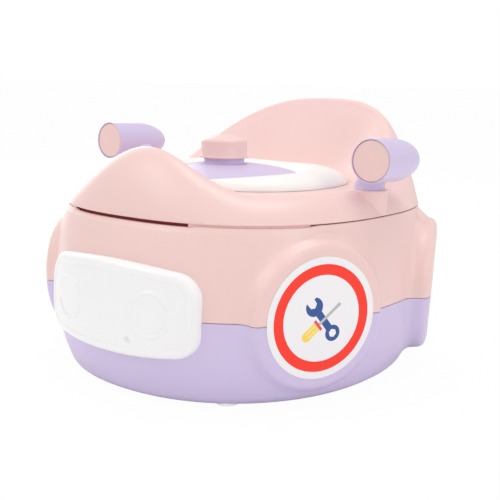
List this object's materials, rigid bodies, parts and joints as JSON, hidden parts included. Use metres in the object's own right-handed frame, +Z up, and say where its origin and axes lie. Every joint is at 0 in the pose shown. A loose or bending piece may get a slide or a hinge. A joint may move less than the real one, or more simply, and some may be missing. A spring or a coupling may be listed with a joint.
{
  "type": "potty training chair",
  "caption": "Child's potty training chair with a hinged seat, splash guard, backrest, side handles, soft seat ring, lift-out bowl and a knobbed lid.",
  "frame": {"origin": "on the floor under the middle of the chair", "axes": "+Z up, -Y to the front where the child's feet go, +X to the right hand of someone who faces the back of the chair from its front"},
  "size_m": [0.3924, 0.3812, 0.2655],
  "materials": {
    "lavender_plastic": "satin moulded polypropylene",
    "pink_plastic": "satin moulded polypropylene",
    "white_plastic": "satin moulded polypropylene",
    "bowl_plastic": "polished moulded polypropylene",
    "label_print": "printed vinyl label",
    "cushion_skin": "soft skin-covered foam",
    "grey_rubber": "soft moulded rubber",
    "screw_steel": "zinc-plated steel"
  },
  "bodies": {
    "body": {"base_tub": "lavender_plastic", "body_shell": "pink_plastic", "front_panel": "white_plastic", "panel_screws": "screw_steel", "wheel_label_front_left": "label_print", "wheel_label_front_right": "label_print", "wheel_label_rear_left": "label_print", "wheel_label_rear_right": "label_print", "hinge_pins": "screw_steel", "base_screws": "screw_steel", "rubber_feet": "grey_rubber", "seat_bumpers": "grey_rubber"},
    "seat": {"seat_shell": "pink_plastic", "seat_cushion": "cushion_skin", "cushion_pegs": "white_plastic", "handle_left": "lavender_plastic", "handle_right": "lavender_plastic", "handle_cap_left": "pink_plastic", "handle_cap_right": "pink_plastic", "handle_screws": "screw_steel"},
    "bowl": {"potty_bowl": "bowl_plastic"},
    "lid": {"lid": "lavender_plastic", "lid_knob": "pink_plastic", "knob_screw": "screw_steel"}
  },
  "joints": [
    {"name": "seat_hinge", "type": "hinge", "parent": "body", "child": "seat", "pos_m": [0, 0.1859, 0.163], "axis": [-1, 0, 0], "range_deg": [0, 75]},
    {"name": "bowl_lift", "type": "slide", "parent": "seat", "child": "bowl", "axis": [0, 0, 1], "range_m": [0, 0.15]},
    {"name": "lid_lift", "type": "slide", "parent": "bowl", "child": "lid", "axis": [0, 0, 1], "range_m": [0, 0.1]}
  ]
}
